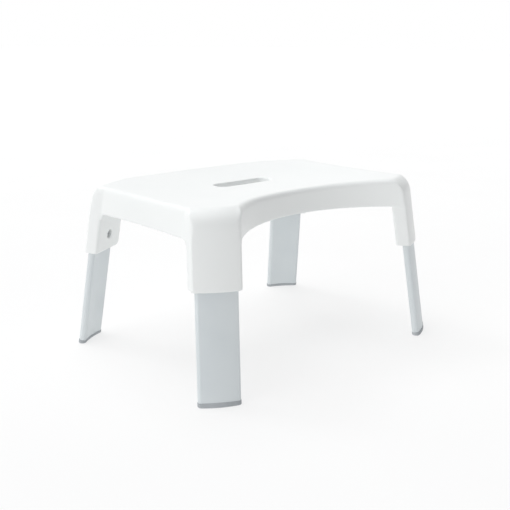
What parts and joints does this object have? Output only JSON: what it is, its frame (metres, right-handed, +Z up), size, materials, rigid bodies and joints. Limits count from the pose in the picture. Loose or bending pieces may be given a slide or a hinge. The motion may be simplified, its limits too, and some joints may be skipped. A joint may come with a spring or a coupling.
{
  "type": "bath stool",
  "caption": "Low bath stool: moulded white seat with a curved-in front and hand slot, on leaning aluminium legs with rubber feet.",
  "frame": {"origin": "on the floor, under the middle of the seat", "axes": "+X along the long side of the seat, -Y towards the curved-in front, +Z up"},
  "size_m": [0.469, 0.353, 0.2505],
  "materials": {
    "seat_plastic": "gloss",
    "leg_aluminium": "satin anodised",
    "foot_rubber": "matt",
    "plug_plastic": "matt",
    "fastener_steel": "satin stainless"
  },
  "bodies": {
    "root": {"seat": "seat_plastic", "leg_front_left": "leg_aluminium", "foot_front_left": "foot_rubber", "leg_plug_front_left": "plug_plastic", "leg_nut_front_left": "fastener_steel", "leg_washer_front_left": "fastener_steel", "leg_screw_front_left": "fastener_steel", "leg_front_right": "leg_aluminium", "foot_front_right": "foot_rubber", "leg_plug_front_right": "plug_plastic", "leg_nut_front_right": "fastener_steel", "leg_washer_front_right": "fastener_steel", "leg_screw_front_right": "fastener_steel", "leg_rear_left": "leg_aluminium", "foot_rear_left": "foot_rubber", "leg_plug_rear_left": "plug_plastic", "leg_nut_rear_left": "fastener_steel", "leg_washer_rear_left": "fastener_steel", "leg_screw_rear_left": "fastener_steel", "leg_rear_right": "leg_aluminium", "foot_rear_right": "foot_rubber", "leg_plug_rear_right": "plug_plastic", "leg_nut_rear_right": "fastener_steel", "leg_washer_rear_right": "fastener_steel", "leg_screw_rear_right": "fastener_steel"}
  },
  "joints": []
}
